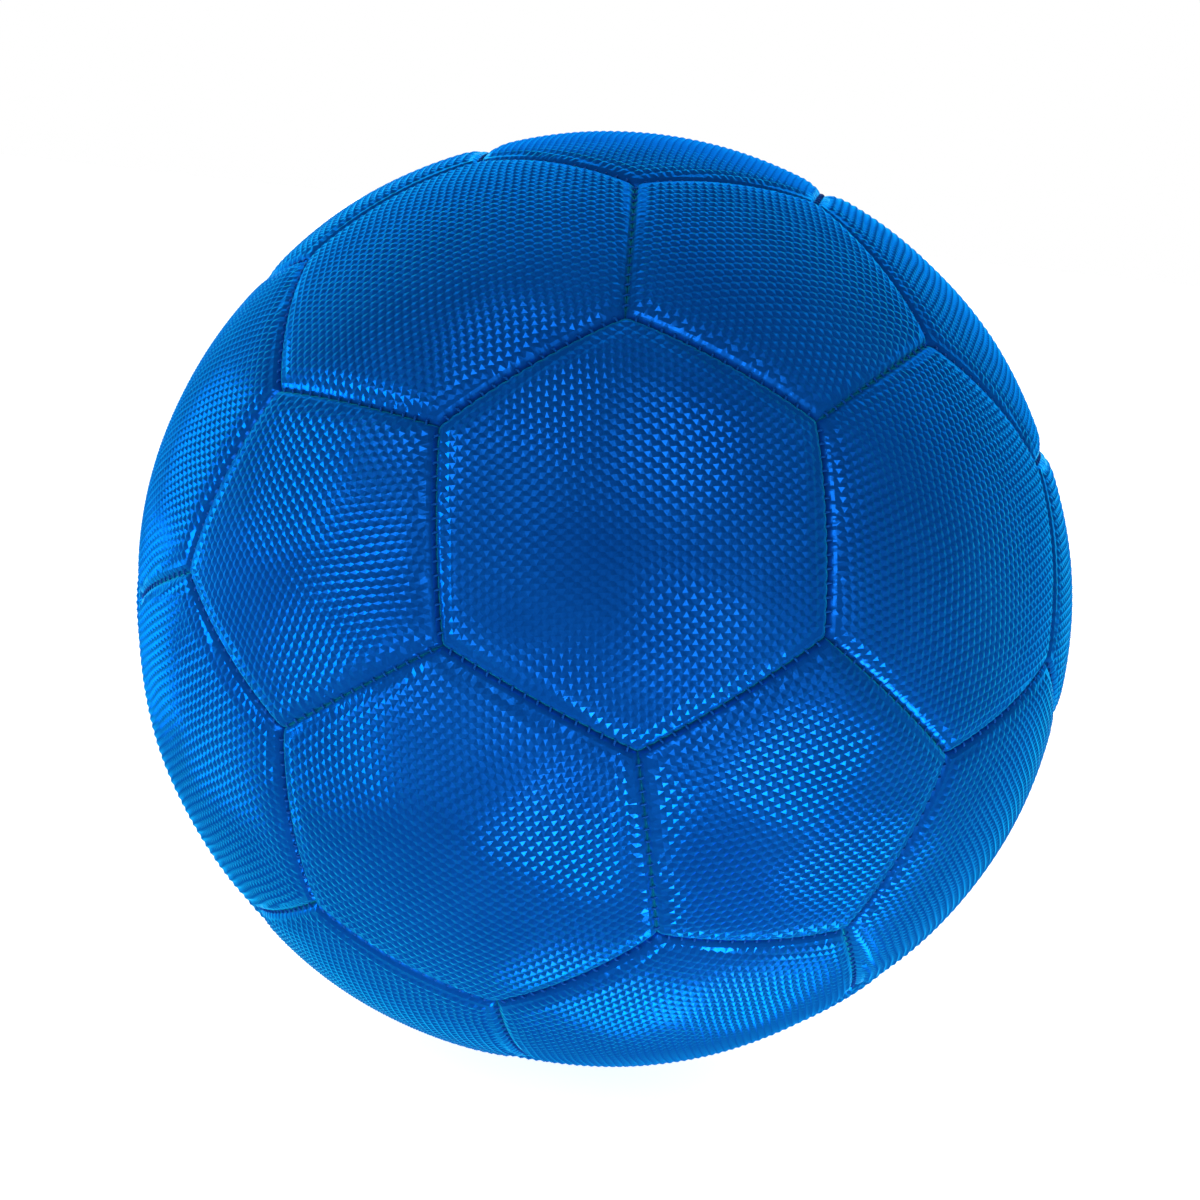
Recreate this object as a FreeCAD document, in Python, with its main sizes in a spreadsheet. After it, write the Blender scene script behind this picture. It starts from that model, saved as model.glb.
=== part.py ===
"""A hollow 32-panel ball: 20 hexagons and 12 pentagons of padded synthetic leather, machine-stitched
edge to edge over an air bladder with a needle valve.

Frame: millimetres, origin at the ball's centre. +Z runs through the middle of the top hexagon, and
the YZ plane is a mirror plane of the panel pattern, with a pentagon above the middle of the front (-Y).

Layers from the outside in: skin (turned inwards at every seam), foam pad, woven lining, bladder.
Every panel is made once at the top of the ball and turned to its place.
"""
import FreeCAD, Part

import math
import os

from FreeCAD import Placement, Rotation, Vector

GOLDEN = (1 + math.sqrt(5)) / 2
# Half the angle between two touching hexagons, and the rest of the way to a touching pentagon.
HEX_SIDE_SLOPE = 1 / GOLDEN**2
HEX_SIDE_ANGLE = math.atan(HEX_SIDE_SLOPE)
HEX_TO_PENT_ANGLE = math.acos(math.sqrt((5 + 2 * math.sqrt(5)) / 15))
PENT_SIDE_SLOPE = math.tan(HEX_TO_PENT_ANGLE - HEX_SIDE_ANGLE)
# The pattern's corners lie on a sphere of this many panel edges in radius.
CORNER_RADIUS_IN_EDGES = math.sqrt(58 + 18 * math.sqrt(5)) / 4
SEAM_ANGLE = 2 * math.degrees(math.asin(0.5 / CORNER_RADIUS_IN_EDGES))

SIZES = {
    # The ball over the crowns of its panels, and the flatter curve of each puffed panel.
    "ball_radius": 110,
    "dome_radius": 100,
    "hex_slope": round(HEX_SIDE_SLOPE, 9),
    "pent_slope": round(PENT_SIDE_SLOPE, 9),
    # Skin, rolled over each seam and turned inwards as a flange.
    "skin_thickness": 1.1,
    "edge_roll": 1.4,
    "seam_gap": 0.7,
    "flange_end_radius": 104.6,
    # Layers glued under the skin.
    "glue_line": 0.05,
    "foam_thickness": 2.5,
    "lining_thickness": 0.7,
    # Stitching thread along the bottom of each seam.
    "thread_radius": 0.3,
    "thread_path_radius": 107.2,
    "thread_end_angle": 1.0,
    # Air bladder.
    "bladder_radius": 104.3,
    "bladder_wall": 0.75,
    # Needle valve: rubber housing in the bladder, with a plug-like core.
    "valve_hole_radius": 4.4,
    "stem_radius": 4.2,
    "stem_top": 109.6,
    "housing_bottom": 91,
    "housing_body_radius": 5.5,
    "housing_body_top": 102.6,
    "base_radius": 17,
    "base_thickness": 1.3,
    "core_radius": 2.3,
    "core_top": 109.4,
    "core_bottom": 93,
    "core_head_radius": 3.1,
    "core_head_height": 1.1,
    "core_ring_radius": 2.9,
    "core_ring_height": 1.2,
    "core_ring_bottom": 95,
    "core_clearance": 0.05,
    "needle_hole_radius": 0.9,
    "patch_radius": 14,
    "patch_top_radius": 105.4,
    "patch_thickness": 0.5,
    # Heights between which the tools that trim the panels run.
    "tool_low": 80,
    "tool_high": 125,
}

# The valve sits in the hexagon nearest to this direction, behind and to the left.
VALVE_SIDE = Vector(-0.61, 0.71, 0.34)


def make_sheet(doc):
    """The driving sizes, one row each: name, value, and the name again as the cell's alias."""
    sheet = doc.addObject("Spreadsheet::Sheet", "Sizes")
    for row, (name, value) in enumerate(SIZES.items(), start=1):
        sheet.set(f"A{row}", name)
        sheet.set(f"B{row}", str(value))
        sheet.setAlias(f"B{row}", name)
    doc.recompute()
    return sheet


def bound(doc, kind, name, **expressions):
    """Add an object and bind its properties to the sheet; low_z is the height that it starts at."""
    item = doc.addObject(kind, name)
    for prop, expression in expressions.items():
        path = "Placement.Base.z" if prop == "low_z" else prop
        item.setExpression(path, expression)
    return item


def boolean(doc, kind, name, base, tool):
    item = doc.addObject(f"Part::{kind}", name)
    item.Base = base
    item.Tool = tool
    return item


def fuse(doc, name, pieces):
    item = doc.addObject("Part::MultiFuse", name)
    item.Shapes = pieces
    return item


def ball(doc, name, radius):
    return bound(doc, "Part::Sphere", name, Radius=radius)


def cylinder(doc, name, radius, bottom, top):
    return bound(doc, "Part::Cylinder", name, Radius=radius, Height=f"({top}) - ({bottom})", low_z=bottom)


def dome(doc, name, depth):
    """The ball that a panel's layer curves with, depth below the skin's outer face."""
    centre = "Sizes.ball_radius - Sizes.dome_radius"
    return bound(doc, "Part::Sphere", name, Radius=f"Sizes.dome_radius - ({depth})", low_z=centre)


def pyramid(doc, name, sides, inset):
    """The space inside a panel's seam planes, which meet at the ball's centre, less an inset from each."""
    slope = "Sizes.hex_slope" if sides == 6 else "Sizes.pent_slope"
    sections = []
    for end in ("low", "high"):
        height = f"Sizes.tool_{end}"
        inner_radius = f"({height} * {slope} - ({inset}) / cos(atan({slope})))"
        section = bound(
            doc,
            "Part::RegularPolygon",
            f"{name}_{end}",
            Circumradius=f"{inner_radius} / cos(180 / {sides})",
            low_z=height,
        )
        section.Polygon = sides
        sections.append(section)
    loft = doc.addObject("Part::Loft", name)
    loft.Sections = sections
    loft.Solid = True
    loft.Ruled = True
    return loft


def rolled(doc, name, blank, sheet):
    """Round the outer edges of a panel blank, where the skin rolls over into its seams."""
    doc.recompute()
    centre = Vector(0, 0, float(sheet.ball_radius) - float(sheet.dome_radius))
    radius = float(sheet.dome_radius)
    edges = []
    for number, edge in enumerate(blank.Shape.Edges, start=1):
        if all(abs(v.Point.distanceToPoint(centre) - radius) < 1e-4 for v in edge.Vertexes):
            edges.append((number, float(sheet.edge_roll), float(sheet.edge_roll)))
    item = doc.addObject("Part::Fillet", name)
    item.Base = blank
    item.Edges = edges
    return item


def panel_tray(doc, name, sides, sheet):
    """A skin panel at the top of the ball: a puffed face with flanges turned in along its seams."""
    half_gap = "Sizes.seam_gap / 2"
    outside = dome(doc, f"{name}_face", "0")
    outline = pyramid(doc, f"{name}_outline", sides, half_gap)
    blank = boolean(doc, "Common", f"{name}_blank", outside, outline)
    rounded = rolled(doc, f"{name}_rolled", blank, sheet)
    under = dome(doc, f"{name}_under", "Sizes.skin_thickness")
    inner = pyramid(doc, f"{name}_inner", sides, f"{half_gap} + Sizes.skin_thickness")
    pocket = boolean(doc, "Common", f"{name}_pocket", under, inner)
    return boolean(doc, "Cut", f"{name}_tray", rounded, pocket)


def panel_layer(doc, name, sides, top_depth, thickness):
    """A layer under the skin, as its two trimming shapes: the layer's top in its outline, and below it."""
    inset = "Sizes.seam_gap / 2 + Sizes.skin_thickness + Sizes.glue_line"
    top = dome(doc, f"{name}_top", top_depth)
    outline = pyramid(doc, f"{name}_outline", sides, inset)
    whole = boolean(doc, "Common", f"{name}_whole", top, outline)
    return whole, dome(doc, f"{name}_below", f"{top_depth} + {thickness}")


def placed_cut(doc, name, base, tool, turn):
    item = boolean(doc, "Cut", name, base, tool)
    item.Placement = Placement(Vector(), turn)
    return item


def group(doc, name, pieces):
    item = doc.addObject("Part::Compound", name)
    item.Links = pieces
    return item


def pentagon_axes():
    """Unit vectors through the 12 pentagons, which are the corners of an icosahedron."""
    axes = []
    for squared, first_azimuth in (((5 + 2 * math.sqrt(5)) / 15, -90), ((5 - 2 * math.sqrt(5)) / 15, 90)):
        height, width = math.sqrt(squared), math.sqrt(1 - squared)
        for third in range(3):
            azimuth = math.radians(first_azimuth + 120 * third)
            axis = Vector(width * math.cos(azimuth), width * math.sin(azimuth), height)
            axes += [axis, axis * -1]
    return from_the_top(axes)


def hexagon_axes(pentagons):
    """Unit vectors through the 20 hexagons: the middle of every three pentagons that are neighbours."""
    near = 1 / math.sqrt(5) - 0.01
    axes = []
    for i, a in enumerate(pentagons):
        for j, b in enumerate(pentagons[i + 1 :], start=i + 1):
            for c in pentagons[j + 1 :]:
                if min(a * b, b * c, c * a) > near:
                    axes.append((a + b + c).normalize())
    return from_the_top(axes)


def from_the_top(axes):
    """Sort downwards, and round each ring from the front, so that numbers run like a spiral."""
    return sorted(axes, key=lambda v: (-round(v.z, 3), round(math.atan2(v.x, -v.y) % math.tau, 3)))


def towards(axis, other):
    """The unit vector square to axis that points at other."""
    return (other - axis * (axis * other)).normalize()


def nearest(axis, others):
    return max(others, key=lambda other: axis * other)


def hexagon_turn(axis, pentagons):
    """Turn the top hexagon, which has a corner on +X and a side across +Y, to its place."""
    side = towards(axis, nearest(axis, pentagons))
    return Rotation(side.cross(axis), side, axis, "ZYX")


def pentagon_turn(axis, hexagons):
    """Turn the top pentagon, which has a corner on +X and a side across -X, to its place."""
    corner = towards(axis, nearest(axis, hexagons)) * -1
    return Rotation(corner, axis.cross(corner), axis, "ZXY")


def seam_turns(hexagons, neighbours, reach):
    """For each seam that a hexagon shares with a neighbour closer than reach, the turn that lays the
    XY plane in the seam's plane with +X through the seam's middle."""
    turns = []
    for i, axis in enumerate(hexagons):
        others = hexagons[i + 1 :] if neighbours is hexagons else neighbours
        for other in others:
            if axis * other < math.cos(reach):
                continue
            across = towards(axis, other)
            middle = axis * math.cos(HEX_SIDE_ANGLE) + across * math.sin(HEX_SIDE_ANGLE)
            square = across * math.cos(HEX_SIDE_ANGLE) - axis * math.sin(HEX_SIDE_ANGLE)
            turns.append(Rotation(middle, square.cross(middle), square, "ZXY"))
    return turns


def make_threads(doc, name, turns):
    """One arc of thread in each seam, ending short of the corners where three seams meet."""
    sweep = f"({SEAM_ANGLE:.6f} - 2 * Sizes.thread_end_angle)"
    threads = []
    for number, turn in enumerate(turns, start=1):
        thread = bound(
            doc,
            "Part::Torus",
            f"{name}_{number:02d}",
            Radius1="Sizes.thread_path_radius",
            Radius2="Sizes.thread_radius",
            Angle3=sweep,
        )
        start = Rotation(Vector(0, 0, 1), float(doc.Sizes.thread_end_angle) - SEAM_ANGLE / 2)
        thread.Placement = Placement(Vector(), turn.multiply(start))
        threads.append(thread)
    return group(doc, name, threads)


def make_panels(doc, sheet, kind, sides, turns, valve_place, valve_hole):
    """The skins, foam pads and linings of one kind of panel. Where the valve is, all have its hole."""
    inside = ball(doc, f"{kind}_flange_end", "Sizes.flange_end_radius")
    tray = panel_tray(doc, kind, sides, sheet)
    foam_depth = "Sizes.skin_thickness + Sizes.glue_line"
    lining_depth = f"{foam_depth} + Sizes.foam_thickness + Sizes.glue_line"
    foam = panel_layer(doc, f"{kind}_foam", sides, foam_depth, "Sizes.foam_thickness")
    lining = panel_layer(doc, f"{kind}_lining", sides, lining_depth, "Sizes.lining_thickness")
    skins, pads, linings = [], [], []
    for place, turn in enumerate(turns):
        number = len(skins) + 1
        layers = {"skin": (tray, inside), "pad": foam, "lining": lining}
        made = {}
        for layer, (whole, below) in layers.items():
            if place == valve_place:
                whole = boolean(doc, "Cut", f"{kind}_{layer}_with_valve_hole", whole, valve_hole)
            made[layer] = placed_cut(doc, f"{kind}_{layer}_{place + 1:02d}", whole, below, turn)
        pads.append(made["pad"])
        linings.append(made["lining"])
        if place == valve_place:
            made["skin"].Label = "valve_panel"
            valve_skin = made["skin"]
        else:
            made["skin"].Label = f"{kind}_panel_{number:02d}"
            skins.append(made["skin"])
    if valve_place is not None:
        skins.append(valve_skin)
    return skins + [group(doc, f"{kind}_foam_pads", pads), group(doc, f"{kind}_linings", linings)]


def make_valve_housing(doc, turn):
    """Rubber stem and body, moulded with a round base that is bonded inside the bladder."""
    gap = "Sizes.core_clearance"
    stem = cylinder(doc, "housing_stem", "Sizes.stem_radius", "Sizes.housing_body_top - 2", "Sizes.stem_top")
    body = cylinder(
        doc, "housing_body", "Sizes.housing_body_radius", "Sizes.housing_bottom", "Sizes.housing_body_top"
    )
    base_top = "Sizes.bladder_radius - Sizes.bladder_wall - Sizes.glue_line"
    base_disc = cylinder(doc, "housing_base_disc", "Sizes.base_radius", "Sizes.tool_low", "Sizes.tool_high")
    base_cap = boolean(doc, "Common", "housing_base_cap", ball(doc, "housing_base_top", base_top), base_disc)
    base_under = ball(doc, "housing_base_under", f"{base_top} - Sizes.base_thickness")
    base = boolean(doc, "Cut", "housing_base", base_cap, base_under)
    whole = fuse(doc, "housing_whole", [stem, body, base])
    seat = cylinder(doc, "seat", f"Sizes.core_radius + {gap}", "Sizes.tool_low", "Sizes.tool_high")
    ring_bottom = f"Sizes.core_ring_bottom - {gap}"
    ring_top = f"Sizes.core_ring_bottom + Sizes.core_ring_height + {gap}"
    ring_seat = cylinder(doc, "ring_seat", f"Sizes.core_ring_radius + {gap}", ring_bottom, ring_top)
    head_bottom = f"Sizes.core_top - Sizes.core_head_height - {gap}"
    head_seat = cylinder(
        doc, "head_seat", f"Sizes.core_head_radius + {gap}", head_bottom, "Sizes.tool_high"
    )
    space = fuse(doc, "core_space", [seat, ring_seat, head_seat])
    return placed_cut(doc, "valve_housing", whole, space, turn)


def make_valve_core(doc, turn):
    """Rubber plug with a head and a retaining ring, and the needle's hole along it."""
    stalk = cylinder(doc, "core_stalk", "Sizes.core_radius", "Sizes.core_bottom", "Sizes.core_top")
    head_bottom = "Sizes.core_top - Sizes.core_head_height"
    head = cylinder(doc, "core_head", "Sizes.core_head_radius", head_bottom, "Sizes.core_top")
    ring_top = "Sizes.core_ring_bottom + Sizes.core_ring_height"
    ring = cylinder(doc, "core_ring", "Sizes.core_ring_radius", "Sizes.core_ring_bottom", ring_top)
    whole = fuse(doc, "core_whole", [stalk, head, ring])
    hole = cylinder(doc, "needle_hole", "Sizes.needle_hole_radius", "Sizes.tool_low", "Sizes.tool_high")
    return placed_cut(doc, "valve_core", whole, hole, turn)


def make_bladder(doc, turn, valve_hole):
    outside = ball(doc, "bladder_outside", "Sizes.bladder_radius")
    inside = ball(doc, "bladder_inside", "Sizes.bladder_radius - Sizes.bladder_wall")
    shell = boolean(doc, "Cut", "bladder_shell", outside, inside)
    return placed_cut(doc, "bladder", shell, valve_hole, turn)


def make_patch(doc, turn, valve_hole):
    """Reinforcing disc glued behind the lining, round the valve's hole."""
    disc = cylinder(doc, "patch_disc", "Sizes.patch_radius", "Sizes.tool_low", "Sizes.tool_high")
    cap = boolean(doc, "Common", "patch_cap", ball(doc, "patch_top", "Sizes.patch_top_radius"), disc)
    under = ball(doc, "patch_under", "Sizes.patch_top_radius - Sizes.patch_thickness")
    shell = boolean(doc, "Cut", "patch_shell", cap, under)
    return placed_cut(doc, "valve_patch", shell, valve_hole, turn)


def make_ball(doc):
    """Build the whole ball and return its sub-parts, each an object with its own label."""
    sheet = make_sheet(doc)
    pentagons = pentagon_axes()
    hexagons = hexagon_axes(pentagons)
    valve_axis = nearest(VALVE_SIDE, hexagons)
    valve_place = hexagons.index(valve_axis)
    hexagon_turns = [hexagon_turn(axis, pentagons) for axis in hexagons]
    pentagon_turns = [pentagon_turn(axis, hexagons) for axis in pentagons]
    valve_turn = hexagon_turns[valve_place]
    valve_hole = cylinder(
        doc, "valve_hole", "Sizes.valve_hole_radius", "Sizes.tool_low", "Sizes.tool_high"
    )

    parts = make_panels(doc, sheet, "hex", 6, hexagon_turns, valve_place, valve_hole)
    parts += make_panels(doc, sheet, "pent", 5, pentagon_turns, None, valve_hole)
    hex_hex = seam_turns(hexagons, hexagons, 2 * HEX_SIDE_ANGLE + 0.01)
    hex_pent = seam_turns(hexagons, pentagons, HEX_TO_PENT_ANGLE + 0.01)
    parts.append(make_threads(doc, "hex_hex_seam_threads", hex_hex))
    parts.append(make_threads(doc, "hex_pent_seam_threads", hex_pent))
    parts.append(make_patch(doc, valve_turn, valve_hole))
    parts.append(make_bladder(doc, valve_turn, valve_hole))
    parts.append(make_valve_housing(doc, valve_turn))
    parts.append(make_valve_core(doc, valve_turn))
    doc.recompute()
    print(f"valve axis {valve_axis.x:.6f}, {valve_axis.y:.6f}, {valve_axis.z:.6f}")
    return parts


def check(doc, parts):
    """Stop if any object failed, or any sub-part is empty or invalid."""
    for item in doc.Objects:
        if "Invalid" in item.State or "Error" in item.State:
            raise RuntimeError(f"{item.Label} is {item.State}")
    for item in parts:
        shape = item.Shape
        if shape.isNull() or not shape.isValid() or not shape.Solids:
            raise RuntimeError(f"{item.Label} has no valid solid")


def main():
    doc = FreeCAD.newDocument("PanelBall")
    parts = make_ball(doc)
    check(doc, parts)
    os.makedirs("parts", exist_ok=True)
    for item in parts:
        item.Shape.exportStep(os.path.join("parts", f"{item.Label}.step"))
        print(f"{item.Label}: {len(item.Shape.Solids)} solids, {item.Shape.Volume:.0f} mm3")


main()
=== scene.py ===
import math
from itertools import combinations

import bpy
import numpy as np
from mathutils import Matrix, Vector
from mathutils.geometry import delaunay_2d_cdt


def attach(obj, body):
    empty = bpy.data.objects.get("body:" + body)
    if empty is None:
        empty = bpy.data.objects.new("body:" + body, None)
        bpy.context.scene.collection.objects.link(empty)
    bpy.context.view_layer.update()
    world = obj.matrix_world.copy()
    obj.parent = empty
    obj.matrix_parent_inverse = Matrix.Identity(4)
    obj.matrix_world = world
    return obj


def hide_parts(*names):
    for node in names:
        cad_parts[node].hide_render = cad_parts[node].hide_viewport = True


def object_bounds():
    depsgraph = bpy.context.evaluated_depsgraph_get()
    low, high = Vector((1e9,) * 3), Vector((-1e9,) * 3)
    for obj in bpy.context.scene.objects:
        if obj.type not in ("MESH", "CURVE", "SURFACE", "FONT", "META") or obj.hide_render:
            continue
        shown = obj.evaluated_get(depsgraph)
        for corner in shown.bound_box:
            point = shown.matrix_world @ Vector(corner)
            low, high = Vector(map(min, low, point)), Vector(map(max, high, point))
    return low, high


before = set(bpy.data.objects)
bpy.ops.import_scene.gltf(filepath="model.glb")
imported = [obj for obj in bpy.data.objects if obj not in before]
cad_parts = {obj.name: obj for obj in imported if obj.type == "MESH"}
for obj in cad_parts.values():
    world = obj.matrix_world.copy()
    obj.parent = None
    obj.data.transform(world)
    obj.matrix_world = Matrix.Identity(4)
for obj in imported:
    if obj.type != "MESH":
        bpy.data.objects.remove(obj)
CAD_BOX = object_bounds()

MM = 0.001
RADIUS = (CAD_BOX[1].z - CAD_BOX[0].z) / 2 / MM
FLOOR_Z = CAD_BOX[0].z

# ---- The ball, in millimetres ------------------------------------------------------------------------
# A puffed panel curves with a smaller sphere than the ball's, whose centre is nearer to the panel.
DOME_RADIUS = 100.0
DOME_CENTRE = RADIUS - DOME_RADIUS
# The skin is SKIN thick, and at least THINNEST where it rolls over. Its flange ends FLANGE_END from the
# ball's centre, HALF_GAP from the middle of the seam.
SKIN = 1.1
THINNEST = 0.3
FLANGE_END = 104.75
HALF_GAP = 0.04
# The foam under the skin starts FOAM_EDGE in from the seam. Over it the skin dips no lower than FOAM_CLEAR
# under its dome; nearer to the seam it may dip lower, by FOAM_SLOPE for each millimetre.
FOAM_EDGE = 1.4
FOAM_CLEAR = 1.02
FOAM_SLOPE = 4
# The puffed edge of a panel: how far in it starts to roll over, and how far down it rolls. With a
# steepness of 1 it would end upright.
ROLL_WIDTH = 5.8
ROLL_DEPTH = 2.3
ROLL_STEEPNESS = 0.95
# The sharper drop right beside the seam.
CREASE_DEPTH = 0.55
CREASE_REACH = 0.35
# The power that joins two sides' rolls at a corner. A lower one rounds the corner off more.
CORNER_BLEND = 3.0
# How far in from its seams each ring of a panel's rolled edge lies.
RING_OFFSETS = (HALF_GAP, 0.12, 0.24, 0.4, 0.6, 0.84, 1.12, 1.45)
# Embossed pyramids, in staggered rows: from one to the next along a row, from row to row, and their height.
GRAIN_PITCH = 2.29
GRAIN_ROW = 1.65
GRAIN_HEIGHT = 0.4
# How far from the seam the embossing starts and is at its full height.
GRAIN_STARTS = 0.7
GRAIN_FULL = 2.6
# Where the surface of plain skin lies, from 0 at the pyramids' feet to 1 at their tips.
PLAIN = 0.75
# The lattice of pyramids covers this far from a panel's middle, and stops short of the rings round it.
GRAIN_REACH = 50.0
GRAIN_CLEAR = 0.4
# How far the pyramids stray from their lattice, and how far each panel is moved along its axis through the
# waves that they stray with, so that no two panels are alike.
STRAY = 0.16
STRAY_SHIFT = 7
# The slow swell of a panel's face, at its full height this far from the seam.
SWELL = 0.10
SWELL_REACH = 8
# Stitches, and the steps that a panel's side is divided into for each.
STITCH_PITCH = 2.85
STITCHES_EACH_SIDE = 7
STEPS_PER_STITCH = 7
# The pucker at each stitch: its depth, its reach in from the seam, how narrow it is along the seam, how
# far before a corner the puckers start to fade, and how strong they are on average and how that varies.
PUCKER_DEPTH = 0.36
PUCKER_REACH = 1.1
PUCKER_NARROWNESS = 1.5
PUCKER_FADE = 1.2
PUCKER_MEAN = 0.8
PUCKER_VARIES = 0.3
# The fine wrinkles, two to a stitch: how deep, how far in from the seam, how wide, and how they wander.
WRINKLE_DEPTH = 0.05
WRINKLE_PLACE = 1.6
WRINKLE_WIDTH = 1.1
WRINKLE_WANDER = 2.5
# The thread's winding: how high, how far to each side and how deep it goes, and how square to the seam.
THREAD_RADIUS = 0.24
THREAD_LEVEL = RADIUS - 2.15
THREAD_REACH = 0.75
THREAD_DEPTH = 1.6
THREAD_SQUARENESS = 0.75
THREAD_STEPS = 12
THREAD_SIDES = 6
# The thread's section is worked out from a way that the thread never takes: along the seam and this much
# across it.
THREAD_LEAN = 0.3
# The valve's hole, and the rings of the smooth collar round it, by their distance from its edge.
VALVE_HOLE = 4.4
HOLE_STEPS = 72
COLLAR_OFFSETS = (0.0, 0.12, 0.3, 0.6, 1.0, 1.5)
COLLAR_DIP = 0.35
COLLAR_DIP_WIDTH = 1.0
# How far from the hole's edge the embossing starts and is at its full height.
COLLAR_PLAIN = 2.2
COLLAR_GRAIN_FULL = 4.0
# The plain underside of a skin: its grid's step and extent, and how far it keeps from the skin's edges.
UNDERSIDE_STEP = 6
UNDERSIDE_REACH = 45
UNDERSIDE_CLEAR = 2
# Edges that turn more than this are shaded as sharp.
SKIN_SHARP = math.radians(7)
THREAD_SHARP = math.radians(60)

# Kinds of smooth unevenness: the seed of each, and its length in millimetres.
PUCKER_WAVES = (11, 23)
WRINKLE_WAVES = (12, 9)
SWELL_WAVES = (21, 38)
STRAY_WAVES = ((31, 17), (32, 17))
# How many waves are added up, and their shortest and longest as parts of that length.
WAVE_COUNT = 7
SHORTEST_WAVE, LONGEST_WAVE = 0.7, 1.5

# ---- Angles of the pattern ---------------------------------------------------------------------------
GOLDEN = (1 + math.sqrt(5)) / 2
# From a hexagon's axis to the middle of its side, from it to a pentagon's axis, and from a pentagon's axis
# to the middle of its side.
HEX_SIDE = math.atan(1 / GOLDEN**2)
HEX_TO_PENT = math.acos(math.sqrt((5 + 2 * math.sqrt(5)) / 15))
PENT_SIDE = HEX_TO_PENT - HEX_SIDE
# Half of the angle that one seam takes up, seen from the ball's centre.
HALF_SEAM = math.asin(2 / math.sqrt(58 + 18 * math.sqrt(5)))
# Added to an angle or a cosine in a comparison, so that rounding doesn't decide it.
SLACK = 0.01
# Two unit vectors with a greater cosine than this are taken as the same axis.
SAME_AXIS = 0.99
# Keeps a division from being by nothing.
TINY = 1e-9
# Flat points nearer than this to each other would be merged.
MERGED = 1e-7

# Which way the grain's rows are cut on the panels that face forward, each given by its rounded axis, in
# degrees from the panel's up.
GRAIN_TURN = {
    (-0.36, -0.87, 0.33): 95,
    (0.36, -0.87, 0.33): 140,
    (-0.58, -0.75, -0.33): 98,
    (-0.58, -0.33, 0.75): 176,
    (0.0, -0.98, -0.19): 21,
    (0.0, -0.61, 0.79): 124,
    (-0.85, -0.49, 0.19): 17,
}


def unit(v):
    return v / np.linalg.norm(v, axis=-1, keepdims=True)


def waves(points, seed, length):
    """Smooth seeded unevenness, about -1 to 1, over points in millimetres."""
    rng = np.random.default_rng(seed)
    total = np.zeros(len(points))
    for _ in range(WAVE_COUNT):
        heading = unit(rng.normal(size=3))
        wavelength = length * rng.uniform(SHORTEST_WAVE, LONGEST_WAVE)
        start = rng.uniform(0, math.tau)
        total += np.sin(points @ heading * math.tau / wavelength + start)
    return total / math.sqrt(WAVE_COUNT)


def ramp(value, low, high):
    """0 up to low, 1 from high, and a smooth rise between."""
    part = np.clip((value - low) / (high - low), 0, 1)
    return part * part * (3 - 2 * part)


# ---- Pattern -----------------------------------------------------------------------------------------
def pentagon_axes():
    axes = []
    for squared, first in (((5 + 2 * math.sqrt(5)) / 15, -90), ((5 - 2 * math.sqrt(5)) / 15, 90)):
        height, width = math.sqrt(squared), math.sqrt(1 - squared)
        for third in range(3):
            turn = math.radians(first + 120 * third)
            axis = np.array((width * math.cos(turn), width * math.sin(turn), height))
            axes += [axis, -axis]
    return axes


def hexagon_axes(pentagons):
    """A hexagon lies in the middle of each three pentagons that are next to each other."""
    near = 1 / math.sqrt(5) - SLACK
    return [
        unit(a + b + c) for a, b, c in combinations(pentagons, 3) if min(a @ b, b @ c, c @ a) > near
    ]


def tangent(axis, other):
    """The unit vector square to axis that points towards other."""
    return unit(other - axis * (axis @ other))


PENTAGONS = pentagon_axes()
HEXAGONS = hexagon_axes(PENTAGONS)


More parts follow.
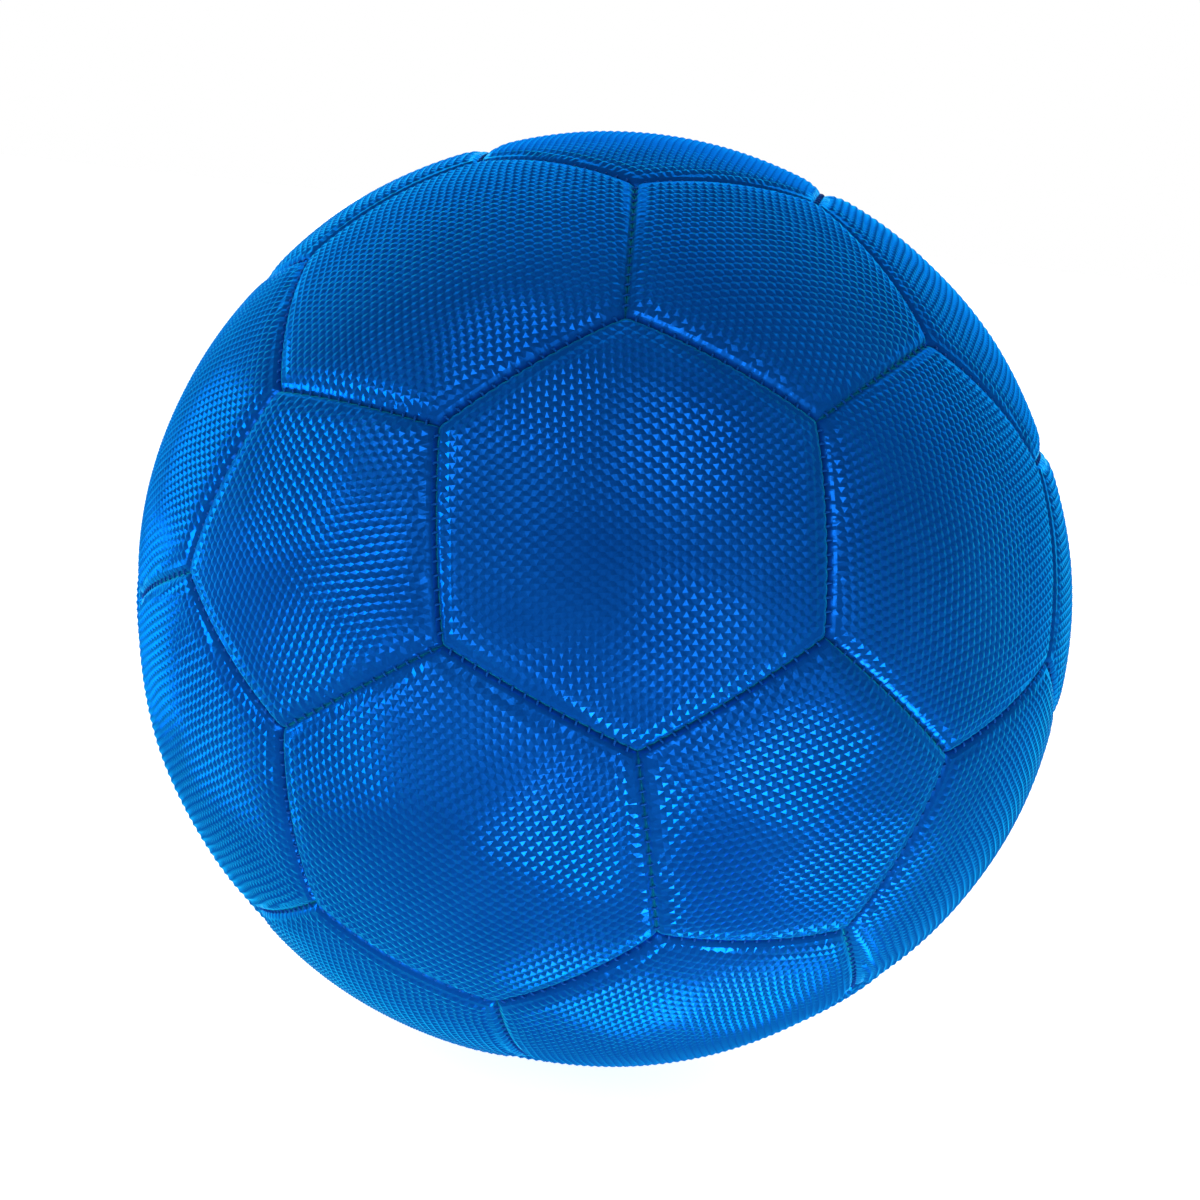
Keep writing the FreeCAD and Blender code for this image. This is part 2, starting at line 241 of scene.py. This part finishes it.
class Panel:
    """Where one panel lies: its axis, and for each of its sides a direction, the seam's plane and its
    middle. hole says whether the valve's hole is in it."""

    def __init__(self, axis, sides, hole):
        self.axis, self.sides, self.hole = axis, sides, hole
        self.tilt = HEX_SIDE if sides == 6 else PENT_SIDE
        others = HEXAGONS + PENTAGONS if sides == 6 else HEXAGONS
        reach = math.cos(2 * HEX_SIDE + SLACK)
        up = np.array((0.0, 0.0, 1.0)) if abs(axis[2]) < SAME_AXIS else np.array((0.0, 1.0, 0.0))
        self.up = tangent(axis, up)
        self.left = np.cross(axis, self.up)
        ways = [tangent(axis, other) for other in others if reach < axis @ other < SAME_AXIS]
        ways.sort(key=lambda t: math.atan2(t @ self.left, t @ self.up) % math.tau)
        self.ways = np.array(ways)
        self.planes = np.array([math.cos(self.tilt) * t - math.sin(self.tilt) * axis for t in ways])
        self.middles = np.array([math.sin(self.tilt) * t + math.cos(self.tilt) * axis for t in ways])

    def directions(self, flat):
        """Unit vectors for points given as arc lengths (towards up, towards left) from the middle."""
        reach = np.linalg.norm(flat, axis=1)
        safe = np.maximum(reach, TINY)[:, None]
        across = (flat[:, :1] * self.up + flat[:, 1:] * self.left) / safe
        angle = (reach / RADIUS)[:, None]
        return np.cos(angle) * self.axis + np.sin(angle) * across

    def flatten(self, places):
        """Arc lengths (towards up, towards left) from the middle, for points in space."""
        directions = unit(places)
        angle = np.arccos(np.clip(directions @ self.axis, -1, 1)) * RADIUS
        across = np.stack([directions @ self.up, directions @ self.left], axis=1)
        return across * (angle / np.maximum(np.linalg.norm(across, axis=1), TINY))[:, None]

    def ring(self, offset, steps):
        """Directions round the panel at an offset in from its seams, with the same steps on every side."""
        scale = math.tan(self.tilt - offset / RADIUS) / math.tan(self.tilt)
        angles = np.linspace(-HALF_SEAM, HALF_SEAM, steps, endpoint=False)
        points = []
        for way in self.ways:
            along = np.cross(self.axis, way)
            edge = math.tan(self.tilt) * way + np.outer(np.tan(angles) / math.cos(self.tilt), along)
            points.append(self.axis + edge * scale)
        return unit(np.vstack(points))

    def hole_ring(self, offset):
        """Directions round the valve's hole, at an offset out from its edge."""
        angles = np.arange(HOLE_STEPS) * math.tau / HOLE_STEPS
        circle = np.stack([np.cos(angles), np.sin(angles)], axis=1)
        return self.directions((VALVE_HOLE + offset) * circle)


def panel_nodes():
    """The CAD nodes of panels, each with the exact axis and the number of sides of its panel."""
    found = {}
    for name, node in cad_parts.items():
        if name.startswith(("hex_panel", "valve_panel", "pent_panel")):
            co = np.zeros(len(node.data.vertices) * 3)
            node.data.vertices.foreach_get("co", co)
            middle = co.reshape(-1, 3).mean(0)
            exact = max(HEXAGONS + PENTAGONS, key=lambda axis: axis @ middle)
            found[name] = (exact, 6 if any(exact is a for a in HEXAGONS) else 5)
    return found


# ---- Panel surfaces ----------------------------------------------------------------------------------
def dome(directions, axis, depth=0.0):
    """Distance from the ball's centre to a panel's puffed dome, less a depth measured inwards."""
    cosine = directions @ axis
    inner = DOME_RADIUS - depth
    return DOME_CENTRE * cosine + np.sqrt(inner**2 - DOME_CENTRE**2 * (1 - cosine**2))


def seam_distances(directions, panel):
    return -np.arcsin(np.clip(directions @ panel.planes.T, -1, 1)) * RADIUS


def roll_drop(distances):
    """How far the skin has rolled over, from its distance to every seam; corners round off."""
    share = np.clip(1 - distances / ROLL_WIDTH, 0, 1)
    each = 1 - np.sqrt(1 - ROLL_STEEPNESS * share**2)
    rolled = ROLL_DEPTH * (each**CORNER_BLEND).sum(1) ** (1 / CORNER_BLEND)
    return rolled + CREASE_DEPTH * np.exp(-distances.min(1) / CREASE_REACH)


def stitch_pull(directions, panel, distances):
    """The pucker at each stitch, and the fine wrinkles beside it."""
    pull = np.zeros(len(directions))
    spots = directions * RADIUS
    uneven = PUCKER_MEAN + PUCKER_VARIES * waves(spots, *PUCKER_WAVES)
    wander = WRINKLE_WANDER * waves(spots, *WRINKLE_WAVES)
    for side in range(panel.sides):
        near = np.abs(distances[:, side])
        along = np.cross(panel.axis, panel.ways[side])
        place = np.arctan2(directions @ along, directions @ panel.middles[side]) * RADIUS
        phase = place / STITCH_PITCH * math.tau
        beat = (0.5 + 0.5 * np.cos(phase)) ** PUCKER_NARROWNESS
        end = HALF_SEAM * RADIUS
        reach = ramp(-np.abs(place), -end, PUCKER_FADE - end)
        pull += PUCKER_DEPTH * beat * np.exp(-near / PUCKER_REACH) * reach * uneven
        wrinkle = np.sin(phase * 2 + wander)
        pull += WRINKLE_DEPTH * wrinkle * np.exp(-(((near - WRINKLE_PLACE) / WRINKLE_WIDTH) ** 2)) * reach
    return pull


def skin_radius(directions, panel, peak=PLAIN):
    """Distance from the centre to the skin's outer face. peak is 1 on a pyramid's tip, 0 at its foot and
    PLAIN where the skin is plain."""
    distances = seam_distances(directions, panel)
    nearest = distances.min(1)
    strength = ramp(nearest, GRAIN_STARTS, GRAIN_FULL)
    drop = roll_drop(distances) + stitch_pull(directions, panel, distances)
    drop += SWELL - SWELL * waves(directions * RADIUS, *SWELL_WAVES) * ramp(nearest, 0, SWELL_REACH)
    if panel.hole:
        from_edge = np.arccos(np.clip(directions @ panel.axis, -1, 1)) * RADIUS - VALVE_HOLE
        strength = strength * ramp(from_edge, COLLAR_PLAIN, COLLAR_GRAIN_FULL)
        drop += COLLAR_DIP * (1 - ramp(from_edge, 0, COLLAR_DIP_WIDTH))
    level = PLAIN + (peak - PLAIN) * strength
    lowest = FOAM_CLEAR + FOAM_SLOPE * np.maximum(FOAM_EDGE - nearest, 0)
    return dome(directions, panel.axis) - np.minimum(drop + GRAIN_HEIGHT * (1 - level), lowest)


def grain_points(turn):
    """The embossing's lattice in a panel's flat coordinates: the pyramids' tips, and their feet, each of
    them midway between three tips."""
    columns = int(GRAIN_REACH / GRAIN_PITCH) + 2
    rows = int(GRAIN_REACH / GRAIN_ROW) + 2
    foot = (GRAIN_ROW**2 - (GRAIN_PITCH / 2) ** 2) / (2 * GRAIN_ROW)
    tips, feet = [], []
    for row in range(-rows, rows + 1):
        shift = 0.5 * (row % 2)
        for column in range(-columns, columns + 1):
            x, y = (column + shift) * GRAIN_PITCH, row * GRAIN_ROW
            tips.append((x, y))
            feet += [(x + GRAIN_PITCH / 2, y + foot), (x + GRAIN_PITCH / 2, y - foot)]
    # The turn is that of the direction square to the rows, so the rows lie a quarter turn from it.
    cos, sin = math.sin(turn), -math.cos(turn)
    spin = np.array(((cos, sin), (-sin, cos)))
    return np.array(tips) @ spin, np.array(feet) @ spin


def grain_turn(panel, name):
    """The direction square to the embossed rows, as an angle from the panel's up: across a side on a
    hexagon, and on a pentagon square to a line from a corner to the middle of a side."""
    angles = [math.atan2(way @ panel.left, way @ panel.up) for way in panel.ways]
    if panel.sides == 5:
        angles = [angle + math.pi / 2 for angle in angles]
    for axis, degrees in GRAIN_TURN.items():
        if panel.axis @ np.array(axis) > SAME_AXIS:
            return max(angles, key=lambda angle: abs(math.cos(angle - math.radians(degrees))))
    return angles[sum(map(ord, name)) % panel.sides]


def triangles(points, inner_ring=0):
    """Delaunay triangles over flat points, counter-clockwise. The first inner_ring points are a hole's
    edge, and no triangle lies inside it."""
    made = delaunay_2d_cdt([Vector(p) for p in points], [], [], 0, MERGED)
    if len(made[0]) != len(points):
        raise RuntimeError("two points of a panel are in the same place")
    given = np.array([first[0] for first in made[3]])
    faces = given[np.array(made[2])]
    a, b, c = (np.asarray(points)[faces[:, k]] for k in range(3))
    turned = (b[:, 0] - a[:, 0]) * (c[:, 1] - a[:, 1]) - (b[:, 1] - a[:, 1]) * (c[:, 0] - a[:, 0])
    faces[turned < 0] = faces[turned < 0][:, ::-1]
    if inner_ring:
        faces = faces[(faces >= inner_ring).any(1)]
    return faces


def add_piece(name, vertices, faces, material, sharp_angle, stands_for):
    """A mesh in millimetres, as a piece on the ball's one body that stands for a CAD node."""
    mesh = bpy.data.meshes.new(name)
    mesh.from_pydata((np.asarray(vertices) * MM).tolist(), [], [list(map(int, face)) for face in faces])
    mesh.materials.append(material)
    mesh.shade_smooth()
    mesh.set_sharp_from_angle(angle=sharp_angle)
    mesh.update()
    piece = bpy.data.objects.new(name, mesh)
    bpy.context.scene.collection.objects.link(piece)
    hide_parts(stands_for)
    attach(piece, "root")


class Shell:
    """Vertices and faces of one closed skin, built up ring by ring."""

    def __init__(self):
        self.vertices, self.faces = [], []

    def add(self, directions, radii):
        """Add vertices, and return their numbers."""
        first = len(self.vertices)
        self.vertices += list(directions * np.broadcast_to(radii, len(directions))[:, None])
        return list(range(first, first + len(directions)))

    def band(self, inner, outer):
        """A strip of faces between two rings of as many vertices."""
        count = len(inner)
        for k in range(count):
            n = (k + 1) % count
            self.faces.append((outer[k], outer[n], inner[n], inner[k]))

    def fill(self, panel, hole, edge, field, order=1):
        """Triangles over a field of vertices, out to a ring and, if there is one, round a hole. They
        face out of the ball, or with an order of -1 into it."""
        numbers = hole + edge + field
        places = panel.flatten(np.array([self.vertices[k] for k in numbers]))
        for face in triangles(places, len(hole)):
            self.faces.append(tuple(numbers[k] for k in face[::order]))


def clear_of_edges(panel, flat, from_seam, from_hole):
    """Directions for flat points, and which of them keep clear of the seams and of the valve's hole."""
    spots = panel.directions(flat)
    keep = seam_distances(spots, panel).min(1) > from_seam
    if panel.hole:
        keep &= np.hypot(*flat.T) > VALVE_HOLE + from_hole
    return spots, keep


def build_panel(name, axis, sides, material):
    panel = Panel(axis, sides, name == "valve_panel")
    steps = round(2 * HALF_SEAM * RADIUS / STITCH_PITCH * STEPS_PER_STITCH)
    shell = Shell()

    # The rolled edge, from the seam inwards.
    edge = []
    for offset in RING_OFFSETS:
        ring = panel.ring(offset, steps)
        edge.append(shell.add(ring, skin_radius(ring, panel)))
    for outer, inner in zip(edge, edge[1:]):
        shell.band(inner, outer)

    # The collar round the valve's hole, from its edge outwards.
    collar = []
    if panel.hole:
        for offset in COLLAR_OFFSETS:
            ring = panel.hole_ring(offset)
            collar.append(shell.add(ring, skin_radius(ring, panel)))
        for inner, outer in zip(collar, collar[1:]):
            shell.band(inner, outer)

    # The embossed field.
    tips, feet = grain_points(grain_turn(panel, name))
    flat = np.vstack([tips, feet])
    peak = np.concatenate([np.ones(len(tips)), np.zeros(len(feet))])
    shifted = np.c_[flat, np.zeros(len(flat))] + STRAY_SHIFT * axis
    flat += STRAY * np.stack([waves(shifted, *kind) for kind in STRAY_WAVES], axis=1)
    from_seam, from_hole = RING_OFFSETS[-1] + GRAIN_CLEAR, COLLAR_OFFSETS[-1] + GRAIN_CLEAR
    spots, keep = clear_of_edges(panel, flat, from_seam, from_hole)
    field = shell.add(spots[keep], skin_radius(spots[keep], panel, peak[keep]))
    shell.fill(panel, collar[-1] if collar else [], edge[-1], field)

    # The flange that is sewn to the next panel, and the rim of the skin's underside.
    ring = panel.ring(HALF_GAP + SKIN, steps)
    outer_flange = shell.add(panel.ring(HALF_GAP, steps), FLANGE_END)
    inner_flange = shell.add(ring, FLANGE_END)
    under = shell.add(ring, np.minimum(dome(ring, axis, SKIN), skin_radius(ring, panel) - THINNEST))
    shell.band(edge[0], outer_flange)
    shell.band(outer_flange, inner_flange)
    shell.band(inner_flange, under)

    # The underside, with the wall of the valve's hole.
    hole = []
    if panel.hole:
        ring = panel.hole_ring(0)
        hole = shell.add(ring, dome(ring, axis, SKIN))
        shell.band(collar[0], hole)
    grid = np.arange(-UNDERSIDE_REACH, UNDERSIDE_REACH + 1, UNDERSIDE_STEP, dtype=float)
    flat = np.stack(np.meshgrid(grid, grid), axis=-1).reshape(-1, 2)
    flat[:, 0] += 0.5 * UNDERSIDE_STEP * (np.arange(len(flat)) // len(grid) % 2)
    spots, keep = clear_of_edges(panel, flat, HALF_GAP + SKIN + UNDERSIDE_CLEAR, UNDERSIDE_CLEAR)
    field = shell.add(spots[keep], dome(spots[keep], axis, SKIN))
    shell.fill(panel, hole, under, field, -1)

    add_piece(name + "_leather", shell.vertices, shell.faces, material, SKIN_SHARP, name)


# ---- Stitching ---------------------------------------------------------------------------------------
def stitch_path():
    """A thread that winds over and under both flanges of a seam, nearly square to it where it shows: its
    place along the seam, how far to one side it is and its distance from the ball's centre."""
    turns = 2 * STITCHES_EACH_SIDE + 1
    share = (np.arange(turns * THREAD_STEPS + 1) / THREAD_STEPS) - turns / 2
    phase = share * math.tau
    place = STITCH_PITCH * (share - THREAD_SQUARENESS * np.sin(phase) / math.tau)
    side = THREAD_REACH * np.sin(phase)
    level = THREAD_LEVEL - THREAD_DEPTH * (1 - np.cos(phase)) / 2
    return place, side, level


def seam_stitches(name, seams, material):
    place, side, level = stitch_path()
    angle = (place / RADIUS)[:, None]
    vertices, faces = [], []
    for middle, across, along in seams:
        out = np.cos(angle) * middle + np.sin(angle) * along
        line = unit(out + (side / RADIUS)[:, None] * across) * level[:, None]
        ahead = unit(np.gradient(line, axis=0))
        first = unit(np.cross(ahead, along + THREAD_LEAN * across))
        second = np.cross(ahead, first)
        rings = []
        for k in range(len(line)):
            ring = []
            for corner in range(THREAD_SIDES):
                turn = corner * math.tau / THREAD_SIDES
                offset = THREAD_RADIUS * (math.cos(turn) * first[k] + math.sin(turn) * second[k])
                ring.append(len(vertices))
                vertices.append(line[k] + offset)
            rings.append(ring)
        for a, b in zip(rings, rings[1:]):
            for c in range(THREAD_SIDES):
                d = (c + 1) % THREAD_SIDES
                faces.append((a[c], a[d], b[d], b[c]))
        faces += [tuple(rings[0][::-1]), tuple(rings[-1])]
    add_piece(name + "_stitching", vertices, faces, material, THREAD_SHARP, name)


def seams_between(firsts, seconds):
    """Each seam between two kinds of panel: its middle, the way across it and the way along it."""
    found = []
    for a in firsts:
        for b in seconds:
            apart = math.acos(np.clip(a @ b, -1, 1))
            counted_from_b = firsts is seconds and tuple(a) > tuple(b)
            if SLACK < apart < 2 * HEX_SIDE + SLACK and not counted_from_b:
                way = tangent(a, b)
                middle = math.sin(HEX_SIDE) * way + math.cos(HEX_SIDE) * a
                across = math.cos(HEX_SIDE) * way - math.sin(HEX_SIDE) * a
                found.append((middle, across, np.cross(middle, across)))
    return found


# ---- Materials ---------------------------------------------------------------------------------------
LEATHER_DEEP = (0.002, 0.084, 0.43, 1)
LEATHER_LIGHT = (0.003, 0.102, 0.49, 1)
LEATHER_PORE = (0.002, 0.068, 0.39, 1)
LEATHER_SHINE = (0.0, 0.52, 0.9, 1)
LEATHER_SHEEN = (0.01, 0.6, 0.72, 1)
LEATHER_ROUGHNESS = 0.2
LEATHER_METAL = 0.55
# Sizes of the leather's features, and the depths of its pores and wrinkles, in millimetres.
LEATHER_TONES = 26
LEATHER_SPECKLES = 0.5
LEATHER_SMEARS = 1.1
LEATHER_PORES, LEATHER_PORE_DEPTH = 0.34, 0.006
LEATHER_WRINKLES, LEATHER_WRINKLE_DEPTH = 0.9, 0.012
# Most of a noise lies between the first two. The narrower two give a mottle more contrast.
NOISE_LOW, NOISE_HIGH = 0.3, 0.7
MOTTLE_LOW, MOTTLE_HIGH = 0.35, 0.65
# At a scale of 1, the wave texture's bands are this many metres apart.
WAVE_BAND = 0.314


def feed(tree, socket, value):
    """Set a socket to a value, or link it to the socket that gives it."""
    if isinstance(value, bpy.types.NodeSocket):
        tree.links.new(value, socket)
    else:
        socket.default_value = value


def add_node(tree, kind, inputs=None, **settings):
    made = tree.nodes.new(kind)
    for key, value in settings.items():
        setattr(made, key, value)
    for key, value in (inputs or {}).items():
        feed(tree, made.inputs[key], value)
    return made


class Shader:
    """A material's node tree, with short ways to add the nodes used here."""

    def __init__(self, name):
        self.material = bpy.data.materials.new(name)
        self.material.use_nodes = True
        self.tree = self.material.node_tree
        self.surface = self.tree.nodes["Principled BSDF"]
        self.place = self.node("ShaderNodeTexCoord").outputs["Object"]

    def node(self, kind, inputs=None, **settings):
        return add_node(self.tree, kind, inputs, **settings)

    def noise(self, size, detail=3.0):
        """Noise whose features are about size millimetres across."""
        inputs = {"Vector": self.place, "Scale": 1 / (size * MM), "Detail": detail}
        return self.node("ShaderNodeTexNoise", inputs).outputs["Fac"]

    def cells(self, size):
        """Distance from the middles of cells about size millimetres across."""
        inputs = {"Vector": self.place, "Scale": 1 / (size * MM)}
        return self.node("ShaderNodeTexVoronoi", inputs).outputs["Distance"]

    def span(self, value, low, high, to_low, to_high):
        """Value with low to high stretched to cover to_low to to_high, and clamped there."""
        inputs = {"Value": value, 1: low, 2: high, 3: to_low, 4: to_high}
        return self.node("ShaderNodeMapRange", inputs).outputs["Result"]

    def patchy(self, middle, less, more, size, detail=3.0):
        """A roughness that varies, from less below its middle to more above, over size millimetres."""
        noise = self.noise(size, detail)
        return self.span(noise, NOISE_LOW, NOISE_HIGH, middle - less, middle + more)

    def mottle(self, size, detail=3.0):
        """A share from 0 to 1 that varies over size millimetres."""
        return self.span(self.noise(size, detail), MOTTLE_LOW, MOTTLE_HIGH, 0, 1)

    def blend(self, share, first, second):
        mixed = self.node("ShaderNodeMix", {0: share, 6: first, 7: second}, data_type="RGBA")
        return mixed.outputs[2]

    def bump(self, height, depth, below=None):
        """A bump depth millimetres high, on top of the one below."""
        inputs = {"Height": height, "Distance": depth * MM, "Strength": 1.0}
        if below is not None:
            inputs["Normal"] = below
        return self.node("ShaderNodeBump", inputs).outputs["Normal"]

    def use(self, **sockets):
        """Set or link sockets of the surface's shader, and return the material."""
        for key, value in sockets.items():
            socket = self.surface.inputs[key.replace("_", " ").title().replace("Ior", "IOR")]
            feed(self.tree, socket, value)
        return self.material


def leather_material():
    """Glossy blue synthetic leather, with fine pores and wrinkles on and between its pyramids."""
    made = Shader("blue_synthetic_leather")
    tone = made.blend(made.mottle(LEATHER_TONES), LEATHER_DEEP, LEATHER_LIGHT)
    speckle = made.span(made.noise(LEATHER_SPECKLES), 0.3, 0.75, 0, 0.35)
    pores = made.bump(made.cells(LEATHER_PORES), LEATHER_PORE_DEPTH)
    return made.use(
        base_color=made.blend(speckle, tone, LEATHER_PORE), metallic=LEATHER_METAL,
        normal=made.bump(made.noise(LEATHER_WRINKLES, 4), LEATHER_WRINKLE_DEPTH, pores),
        roughness=made.patchy(LEATHER_ROUGHNESS, 0.04, 0.06, LEATHER_SMEARS, 4),
        specular_ior_level=0.0, specular_tint=LEATHER_SHINE,
        sheen_weight=0.95, sheen_roughness=0.35, sheen_tint=LEATHER_SHEEN,
    )


def woven_material(name, deep, light, pitch, roughness, sheen=0.25):
    """A plain weave, or the twist of a thread, pitch millimetres from one yarn to the next. Its colour is
    painted shade: deep in the weave's hollows and light on its crests.
    """
    made = Shader(name)
    bands = []
    for direction in ("X", "Y", "Z"):
        inputs = {
            "Vector": made.place, "Scale": WAVE_BAND / (pitch * MM), "Distortion": 0.6,
            "Detail": 1.0, "Detail Scale": 2.0,
        }
        band = made.node("ShaderNodeTexWave", inputs, bands_direction=direction)
        bands.append(band.outputs["Fac"])
    crossed = made.node("ShaderNodeMath", {0: bands[0], 1: bands[1]}, operation="MULTIPLY").outputs[0]
    weave = made.node("ShaderNodeMath", {0: crossed, 1: bands[2]}, operation="MAXIMUM").outputs[0]
    fibres = made.bump(made.noise(pitch * 0.3), pitch * 0.05)
    return made.use(
        # The colour follows the bump's height, so it darkens where the weave is low: painted shade in its
        # hollows.
        base_color=made.blend(made.span(weave, 0.1, 0.9, 0, 1), deep, light),
        normal=made.bump(weave, pitch * 0.25, fibres),
        roughness=made.patchy(roughness, 0.06, 0.06, pitch * 2),
        specular_ior_level=0.08, sheen_weight=sheen,
    )


def moulded_material(name, deep, light, roughness, cell=0.0):
    """Moulded rubber, or with cell set the open cells of foam, cell millimetres across."""
    made = Shader(name)
    colour = made.blend(made.mottle(6, 5), deep, light)
    normal = made.bump(made.noise(0.25, 4), 0.01)
    if cell:
        walls = made.cells(cell)
        colour = made.blend(made.span(walls, 0.0, 0.6, 0.0, 0.6), colour, deep)
        normal = made.bump(walls, cell * 0.4, normal)
    return made.use(
        base_color=colour, normal=normal, specular_ior_level=0.1,
        roughness=made.patchy(roughness, 0.07, 0.07, 1.5),
    )


# ---- The pieces --------------------------------------------------------------------------------------
leather = leather_material()
thread = woven_material(
    "blue_polyester_thread", deep=(0.0, 0.045, 0.26, 1), light=(0.0, 0.085, 0.4, 1),
    pitch=0.35, roughness=0.75, sheen=0.0,
)
for name, (axis, sides) in sorted(panel_nodes().items()):
    build_panel(name, axis, sides, leather)
seam_stitches("hex_hex_seam_threads", seams_between(HEXAGONS, HEXAGONS), thread)
seam_stitches("hex_pent_seam_threads", seams_between(HEXAGONS, PENTAGONS), thread)

foam = moulded_material(
    "white_eva_foam", deep=(0.62, 0.61, 0.57, 1), light=(0.8, 0.79, 0.75, 1), roughness=0.85, cell=0.5
)
lining = woven_material(
    "polyester_cotton_lining", deep=(0.5, 0.5, 0.48, 1), light=(0.74, 0.74, 0.72, 1),
    pitch=0.6, roughness=0.85,
)
patch = woven_material(
    "valve_patch_cloth", deep=(0.42, 0.42, 0.4, 1), light=(0.66, 0.66, 0.63, 1),
    pitch=0.8, roughness=0.85,
)
butyl = moulded_material(
    "black_butyl_rubber", deep=(0.012, 0.012, 0.013, 1), light=(0.026, 0.026, 0.027, 1), roughness=0.5
)
valve_rubber = moulded_material(
    "valve_rubber", deep=(0.0, 0.035, 0.16, 1), light=(0.0, 0.05, 0.21, 1), roughness=0.48
)
core_rubber = moulded_material(
    "valve_core_rubber", deep=(0.01, 0.012, 0.018, 1), light=(0.02, 0.024, 0.034, 1), roughness=0.42
)
CARRIED_OVER = {
    "hex_foam_pads": foam, "pent_foam_pads": foam, "hex_linings": lining, "pent_linings": lining,
    "valve_patch": patch, "bladder": butyl, "valve_housing": valve_rubber, "valve_core": core_rubber,
}
for name, material in CARRIED_OVER.items():
    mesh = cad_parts[name].data
    mesh.materials.clear()
    mesh.materials.append(material)

# ---- Camera ------------------------------------------------------------------------------------------
CAMERA_AZIMUTH = math.radians(-24.6)
CAMERA_ELEVATION = math.radians(11.3)
CAMERA_ROLL = math.radians(7.1)
CAMERA_DISTANCE = 4.85 * RADIUS * MM
CAMERA_LENS = 66.94
CAMERA_SENSOR = 36
CAMERA_NEAR, CAMERA_FAR = 0.02, 50
# How far to the left of the ball's centre the camera aims, in metres.
AIM_LEFT = 0.0007

centre = (CAD_BOX[0] + CAD_BOX[1]) / 2
back = Vector((
    math.sin(CAMERA_AZIMUTH) * math.cos(CAMERA_ELEVATION),
    -math.cos(CAMERA_AZIMUTH) * math.cos(CAMERA_ELEVATION),
    math.sin(CAMERA_ELEVATION),
))
upright = (-back).to_track_quat("-Z", "Y").to_matrix()
rolled = upright @ Matrix.Rotation(CAMERA_ROLL, 3, "Z")
right, up = rolled.col[0].copy(), rolled.col[1].copy()
camera_data = bpy.data.cameras.new("photo_camera")
camera_data.lens = CAMERA_LENS
camera_data.sensor_width = CAMERA_SENSOR
camera_data.clip_start, camera_data.clip_end = CAMERA_NEAR, CAMERA_FAR
camera = bpy.data.objects.new("photo_camera", camera_data)
camera_place = centre + back * CAMERA_DISTANCE - right * AIM_LEFT
camera.matrix_world = Matrix.Translation(camera_place) @ rolled.to_4x4()
bpy.context.scene.collection.objects.link(camera)
bpy.context.scene.camera = camera

# ---- Floor and light ---------------------------------------------------------------------------------
FLOOR_SIZE = 12.0
FLOOR_GLOW = 0.85
# The world's strength in front of the ball and behind it, and between which cosines it changes.
WORLD_FRONT, WORLD_BEHIND = 0.22, 3.9
WORLD_FRONT_ENDS, WORLD_BEHIND_STARTS = 0.3, 1.0
WHITE = (1, 1, 1, 1)
PALE = (0.8, 0.8, 0.8, 1)

floor_mesh = bpy.data.meshes.new("floor")
half = FLOOR_SIZE / 2
floor_mesh.from_pydata(
    [(-half, -half, FLOOR_Z), (half, -half, FLOOR_Z), (half, half, FLOOR_Z), (-half, half, FLOOR_Z)],
    [], [(0, 1, 2, 3)],
)
floor = bpy.data.objects.new("floor", floor_mesh)
bpy.context.scene.collection.objects.link(floor)
floor_mesh.materials.append(Shader("pale_floor").use(
    base_color=PALE, roughness=0.9, emission_color=WHITE, emission_strength=FLOOR_GLOW,
    specular_ior_level=0.0,
))
# The floor doesn't keep the low lights, or their reflections, from the ball.
floor.visible_glossy = False
floor.visible_shadow = False


def softbox(name, way, distance, wide, high, radiance):
    """A rectangular light that faces the ball and that the camera doesn't see. It stands out along a way
    from the origin; sizes are in metres."""
    place = way * distance
    data = bpy.data.lights.new(name, "AREA")
    data.shape = "RECTANGLE"
    data.size, data.size_y = wide, high
    data.energy = math.pi * wide * high * radiance
    lamp = bpy.data.objects.new(name, data)
    lamp.location = place
    lamp.rotation_mode = "QUATERNION"
    lamp.rotation_quaternion = (place - centre).to_track_quat("Z", "Y")
    lamp.visible_camera = False
    bpy.context.scene.collection.objects.link(lamp)


softbox("left_softbox", Vector((-0.86, 0.42, -0.13)), 0.8, wide=0.34, high=0.36, radiance=8)
softbox("table_softbox", Vector((0.25, -0.53, -0.78)), 0.8, wide=0.36, high=0.27, radiance=12)
softbox("front_softbox", back - 0.26 * right + 0.22 * up, 1.1, wide=0.55, high=0.55, radiance=3.0)
softbox("front_fill", back, 1.5, wide=1.2, high=1.2, radiance=1.0)


def studio_world():
    """White to the camera. To the ball, dim in front and bright behind, so that its rim is lit."""
    world = bpy.data.worlds.new("studio")
    bpy.context.scene.world = world
    world.use_nodes = True
    tree = world.node_tree
    tree.nodes.clear()
    way = add_node(tree, "ShaderNodeTexCoord").outputs["Generated"]
    behind = (-0.95 * back + 0.05 * right + 0.3 * up).normalized()
    cosine = add_node(tree, "ShaderNodeVectorMath", {0: way, 1: behind}, operation="DOT_PRODUCT")
    steps = {
        "Value": cosine.outputs["Value"], 1: WORLD_FRONT_ENDS, 2: WORLD_BEHIND_STARTS,
        3: WORLD_FRONT, 4: WORLD_BEHIND,
    }
    strength = add_node(tree, "ShaderNodeMapRange", steps, interpolation_type="SMOOTHSTEP")
    lit = add_node(tree, "ShaderNodeBackground", {"Strength": strength.outputs["Result"]})
    seen = add_node(tree, "ShaderNodeBackground", {"Color": WHITE, "Strength": 1.0})
    camera_ray = add_node(tree, "ShaderNodeLightPath").outputs["Is Camera Ray"]
    shown = {0: camera_ray, 1: lit.outputs[0], 2: seen.outputs[0]}
    chosen = add_node(tree, "ShaderNodeMixShader", shown)
    add_node(tree, "ShaderNodeOutputWorld", {"Surface": chosen.outputs[0]})


studio_world()
bpy.context.scene.view_settings.view_transform = "Standard"
